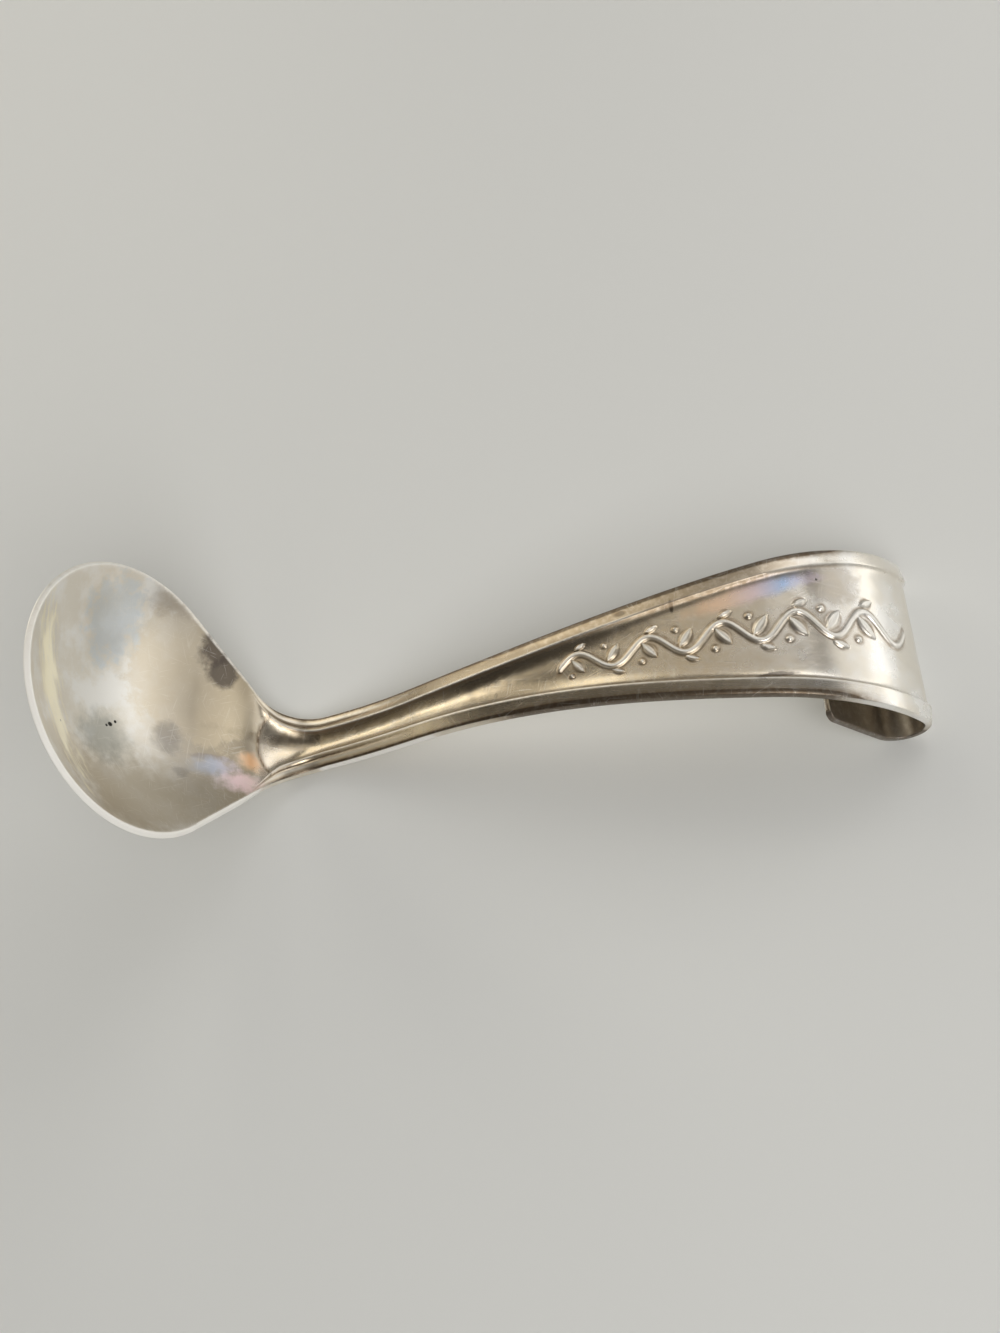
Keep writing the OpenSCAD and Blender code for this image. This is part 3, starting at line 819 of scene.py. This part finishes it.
def makeSilver():
    material = bpy.data.materials.new("silverPlate")
    material.use_nodes = True
    tree = material.node_tree
    shader = tree.nodes["Principled BSDF"]
    place = addNode(tree, "ShaderNodeAttribute", {}, attribute_name="blankPlace").outputs["Vector"]
    tarnishAndShade, wear, face = (addNode(tree, "ShaderNodeAttribute", {}, attribute_name=name).outputs["Fac"]
                          for name in ("tarnishAndShade", "wear", "face"))
    along, sideways = addNode(tree, "ShaderNodeSeparateXYZ", {0: place}).outputs[:2]
    cloud = noise(tree, place, *plate["cloud"])
    fleck = noise(tree, place, *plate["fleck"])
    lines = useGroup(tree, makeScratches(), {"Place": place})
    pits = useGroup(tree, makePits(), {"Place": place})
    dents = useGroup(tree, makeDents(), {"Place": place})
    smudge = makeSmudge()

    # the plate goes from milky in the bowl to brown along the neck and back to white at the arch
    lessBehind = sums(tree, "MULTIPLY_ADD", face, 1 - plate["backCloud"], plate["backCloud"])
    clouded = product(tree, ranged(tree, cloud, *plate["cloudCut"]), lessBehind)
    colour = mixed(tree, clouded, plate["silver"], plate["milky"])
    necked = product(tree, ranged(tree, along, *plate["neckUp"]), ranged(tree, along, *plate["neckDown"]),
                     ranged(tree, fleck, *plate["neckFleck"]))
    colour = mixed(tree, necked, colour, plate["warm"])
    # the bowl turns a darker cream towards the throat
    throatDarkening = product(tree, ranged(tree, along, *plate["throatDarkUp"]), ranged(tree, along, *plate["throatDarkDown"]),
                     plate["dull"])
    colour = mixed(tree, throatDarkening, colour, plate["cream"])
    colour = stainAndShadePlate(tree, smudge, colour, place, face)
    colour, toneAndGleamFilm = tonePlate(tree, smudge, colour, place, along, face)
    # hollows brown with tarnish, and the edges, flanks and upper border brown as painted shade; the darkest
    # of both goes near black
    brown = product(tree, tarnishAndShade, ranged(tree, fleck, *plate["brownFleck"]))
    colour = mixed(tree, brown, colour, plate["brown"])
    colour = mixed(tree, ranged(tree, tarnishAndShade, *plate["sootCut"]), colour, plate["sootAndShade"])
    colour = mixed(tree, product(tree, pits, plate["pitSoot"]), colour, plate["sootAndShade"])
    # the rim is rubbed white all round, and its near side is painted an even white as a highlight
    rimmed = product(tree, ranged(tree, wear, *plate["rimCut"]), ranged(tree, sideways, *plate["rimSide"]))
    rubbedAndGleam = product(tree, wear, ranged(tree, fleck, *plate["wornFleck"]))
    rubbedAndGleam = sums(tree, "MAXIMUM", rubbedAndGleam, rimmed)
    colour = mixed(tree, rubbedAndGleam, colour, plate["wornAndGleamWhite"])
    colour = mixed(tree, product(tree, lines, plate["scratchShine"]), colour, plate["wornAndGleamWhite"])
    tree.links.new(colour, shader.inputs["Base Color"])

    rough = sums(tree, "MULTIPLY_ADD", cloud, plate["roughCloud"], plate["rough"])
    inBowl = product(tree, ranged(tree, along, *plate["bowlEnd"]), face)
    rough = sums(tree, "MULTIPLY_ADD", inBowl, plate["roughBowl"], rough)
    rough = sums(tree, "MULTIPLY_ADD", rubbedAndGleam, plate["roughWorn"], rough)
    rough = sums(tree, "MULTIPLY_ADD", brown, plate["roughBrown"], rough)
    tree.links.new(rough, shader.inputs["Roughness"])
    height = sums(tree, "MULTIPLY_ADD", lines, -plate["scratchDepth"], dents)
    height = sums(tree, "MULTIPLY_ADD", pits, -plate["pitDepth"], height)
    calmed = sums(tree, "MULTIPLY_ADD", rimmed, -plate["rimCalm"], 1.0)
    bump = addNode(tree, "ShaderNodeBump", {"Height": height, "Distance": mm, "Strength": calmed})
    tree.links.new(bump.outputs["Normal"], shader.inputs["Normal"])

    # a milky film lies in the bowl and on the arch, the toning and the bowl wall's painted reflection are a
    # film too, and so is the rim's white
    milky = sums(tree, "MAXIMUM", ranged(tree, along, *plate["filmBowl"]),
                 ranged(tree, along, *plate["filmArch"]))
    thin = plate["film"] * plate["filmThin"]
    milky = product(tree, milky, ranged(tree, cloud, *plate["filmCloud"], thin, plate["film"]))
    milky = sums(tree, "ADD", milky, ranged(tree, along, *plate["filmFar"], 0.0, plate["film"]))
    film = sums(tree, "MAXIMUM", product(tree, milky, face), toneAndGleamFilm)
    scuffed = product(tree, rimmed, ranged(tree, fleck, *plate["filmFleck"]))
    film = sums(tree, "MAXIMUM", film, scuffed)
    tree.links.new(sums(tree, "SUBTRACT", 1.0, film), shader.inputs["Metallic"])
    print("plate material made:", len(tree.nodes), "nodes")
    return material


silver = makeSilver()
bowlSet = {"arcSteps": 64, "spinSteps": 240}
finishPiece(spinBowl("bowlShell", bowlSet), "bowl", silver)
stripSets = {
    "throatScoop": {"node": "throat", "ends": (joinAt, blank["neckAt"]), "steps": 124},
    "neckChannel": {"node": "neck", "ends": (blank["neckAt"], blank["panelAt"]), "steps": 90},
    "handlePanel": {"node": "handle", "ends": (blank["panelAt"], hookAt), "steps": 330},
    "hookCurl": {"node": "hook", "ends": (hookAt, tipAt), "steps": 60},
}
for name, setting in stripSets.items():
    stations = np.linspace(*setting["ends"], setting["steps"])
    finishPiece(pressStrip(name, stations), setting["node"], silver)
# the tail's stations close up towards its rounded end
tailSet = {"plainSteps": 20, "endSteps": 40, "endReach": 3.0}
endAt = tipEnd - tailSet["endReach"]
endTurns = np.linspace(0, math.pi / 2, tailSet["endSteps"])
tailStations = np.concatenate([np.linspace(tipAt, endAt, tailSet["plainSteps"])[:-1],
                               tipEnd - tailSet["endReach"] * (1 - np.sin(endTurns))])
finishPiece(pressStrip("hookTail", tailStations), "hook_tip", silver)

# camera at the photo's angle, turned round its own sight line
cameraSet = {"target": (-0.00193, 0.00794, 0.0), "distance": 0.2252, "azimuth": 17.57, "elevation": 63.97,
             "roll": 24.87, "lens": 45.07, "sensor": 36.0}
bpy.ops.object.camera_add()
camera = bpy.context.object
camera.name = "photoCamera"
azimuth = math.radians(cameraSet["azimuth"])
elevation = math.radians(cameraSet["elevation"])
level = math.cos(elevation)
back = Vector((math.sin(azimuth) * level, -math.cos(azimuth) * level, math.sin(elevation)))
sight = back.to_track_quat("Z", "Y").to_matrix().to_4x4()
camera.matrix_world = (Matrix.Translation(Vector(cameraSet["target"]) + back * cameraSet["distance"])
                       @ sight @ Matrix.Rotation(-math.radians(cameraSet["roll"]), 4, "Z"))
camera.data.lens = cameraSet["lens"]
camera.data.sensor_width = cameraSet["sensor"]
bpy.context.scene.camera = camera
print("camera set")

floorSet = {"size": 3.0, "paint": (0.80, 0.81, 0.795, 1), "rough": 0.42, "fade": (0.75, 0.30)}
bpy.ops.mesh.primitive_plane_add(size=floorSet["size"])
floor = bpy.context.object
floor.name = "studioFloor"
floorMaterial = bpy.data.materials.new("floorPaint")
floorMaterial.use_nodes = True
floorTree = floorMaterial.node_tree
floorShader = floorTree.nodes["Principled BSDF"]
floorShader.inputs["Base Color"].default_value = floorSet["paint"]
floorShader.inputs["Roughness"].default_value = floorSet["rough"]
# the sheet of paint thins out far from the spoon, so that the pale air shows behind it
floorPlace = addNode(floorTree, "ShaderNodeTexCoord", {}).outputs["Object"]
floorFar = addNode(floorTree, "ShaderNodeVectorMath", {0: floorPlace}, operation="LENGTH").outputs["Value"]
floorTree.links.new(ranged(floorTree, floorFar, *floorSet["fade"]), floorShader.inputs["Alpha"])
floor.data.materials.append(floorMaterial)
print("floor laid")

softBoxes = {
    "windowBox": {"place": (0.577, 0.081, 0.212), "size": (0.90, 0.45), "watts": 1.05,
                  "colour": (1.0, 0.975, 0.93)},
    "sillBox": {"place": (0.632, 0.134, 0.068), "size": (0.50, 0.10), "watts": 0.08,
                "colour": (1.0, 0.985, 0.95)},
    "frontBox": {"place": (0.155, -0.36, 0.46), "size": (0.42, 0.34), "watts": 1.3,
                 "colour": (1.0, 0.99, 0.97)},
    "rearBox": {"place": (0.230, 0.398, 0.386), "size": (0.34, 0.26), "watts": 0.38,
                "colour": (1.0, 0.98, 0.95)},
    "ceilingBox": {"place": (0.029, 0.327, 0.618), "size": (0.55, 0.36), "watts": 0.26,
                   "colour": (1.0, 0.97, 0.92)},
    "backBox": {"place": (-0.280, 0.431, 0.309), "size": (0.39, 0.34), "watts": 0.6,
                "colour": (1.0, 0.96, 0.85), "roll": -34.0},
    "cornerBox": {"place": (-0.423, 0.275, 0.327), "size": (0.17, 0.20), "watts": 0.2,
                  "colour": (1.0, 0.96, 0.85)},
    "topBox": {"place": (0.075, -0.23, 0.55), "size": (0.20, 0.20), "watts": 0.28,
               "colour": (1.0, 0.99, 0.97)},
}
for name, setting in softBoxes.items():
    bpy.ops.object.light_add(type="AREA", location=setting["place"])
    lamp = bpy.context.object
    lamp.name = name
    aim = Vector(setting["place"]).to_track_quat("Z", "Y").to_matrix()
    lamp.rotation_euler = (aim @ Matrix.Rotation(math.radians(setting.get("roll", 0.0)), 3, "Z")).to_euler()
    lamp.data.shape = "RECTANGLE"
    lamp.data.size, lamp.data.size_y = setting["size"]
    lamp.data.energy = setting["watts"]
    lamp.data.color = setting["colour"]
print("lamps set:", ", ".join(softBoxes))

# pale backdrop up to a little over the floor, and a dim room above it for the metal to mirror; degrees up
backdrop = {"pale": (0.46, 0.46, 0.445, 1), "dim": (0.085, 0.08, 0.075, 1), "low": 7.0, "high": 21.0}
world = bpy.data.worlds.new("studioAir")
bpy.context.scene.world = world
world.use_nodes = True
airTree = world.node_tree
outlook = addNode(airTree, "ShaderNodeTexCoord", {}).outputs["Generated"]
upward = addNode(airTree, "ShaderNodeSeparateXYZ", {0: outlook}).outputs[2]
lowUp, highUp = (math.sin(math.radians(backdrop[key])) for key in ("low", "high"))
air = mixed(airTree, ranged(airTree, upward, lowUp, highUp), backdrop["pale"], backdrop["dim"])
airTree.links.new(air, airTree.nodes["Background"].inputs["Color"])
bpy.context.scene.view_settings.view_transform = "Standard"
